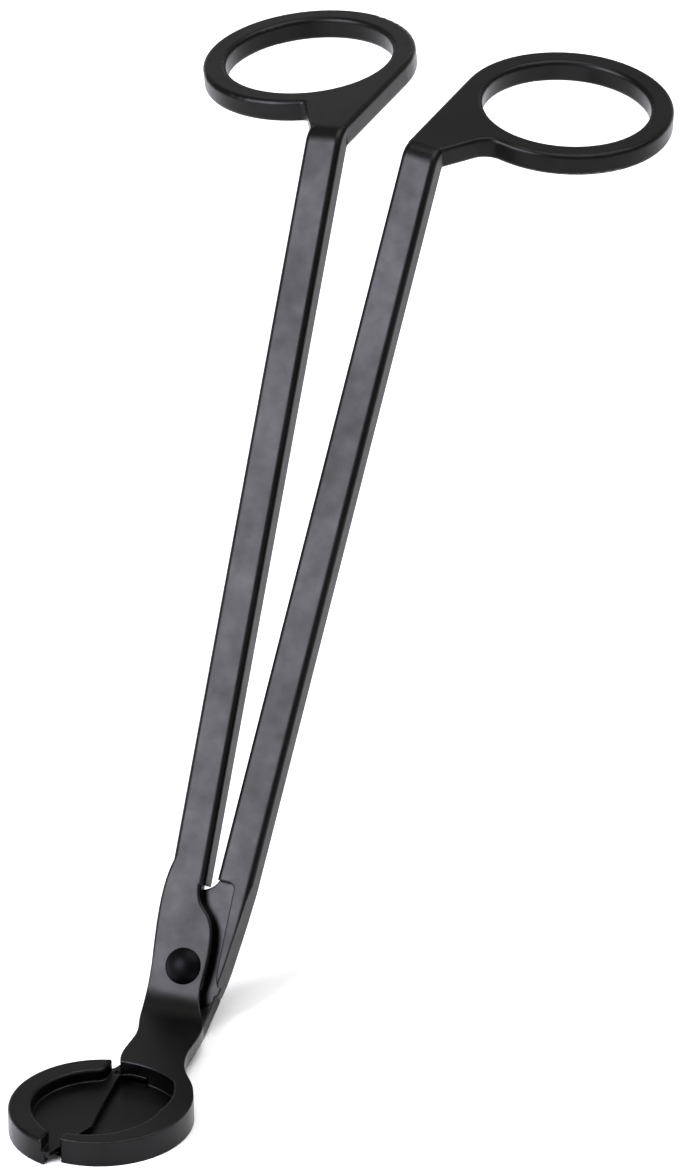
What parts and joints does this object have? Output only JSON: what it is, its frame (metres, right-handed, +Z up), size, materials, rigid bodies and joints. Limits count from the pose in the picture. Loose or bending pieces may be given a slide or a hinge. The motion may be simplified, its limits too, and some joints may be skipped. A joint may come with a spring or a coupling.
{
  "type": "wick trimmer",
  "caption": "Scissor-type candle wick trimmer: two long sloping handles with finger loops, a pivot rivet and a shallow round split tray at the cutting end.",
  "frame": {"origin": "under the middle of the round tray, on the flat underside that rests on the table", "axes": "+Z up, -Y towards the tray's tip, +Y towards the handles, +X towards the right-hand finger loop"},
  "size_m": [0.0772, 0.1638, 0.1179],
  "materials": {
    "coated_steel": "satin",
    "rivet_steel": "satin"
  },
  "bodies": {
    "rear_body": {"rear_arm": "coated_steel", "pivot_rivet": "rivet_steel"},
    "front_body": {"front_arm": "coated_steel"}
  },
  "joints": [
    {"name": "scissor_pivot", "type": "hinge", "parent": "rear_body", "child": "front_body", "pos_m": [-0.0015, 0.0354, 0.0085], "axis": [0, -0.8241, 0.5664], "range_deg": [0, 28]}
  ]
}
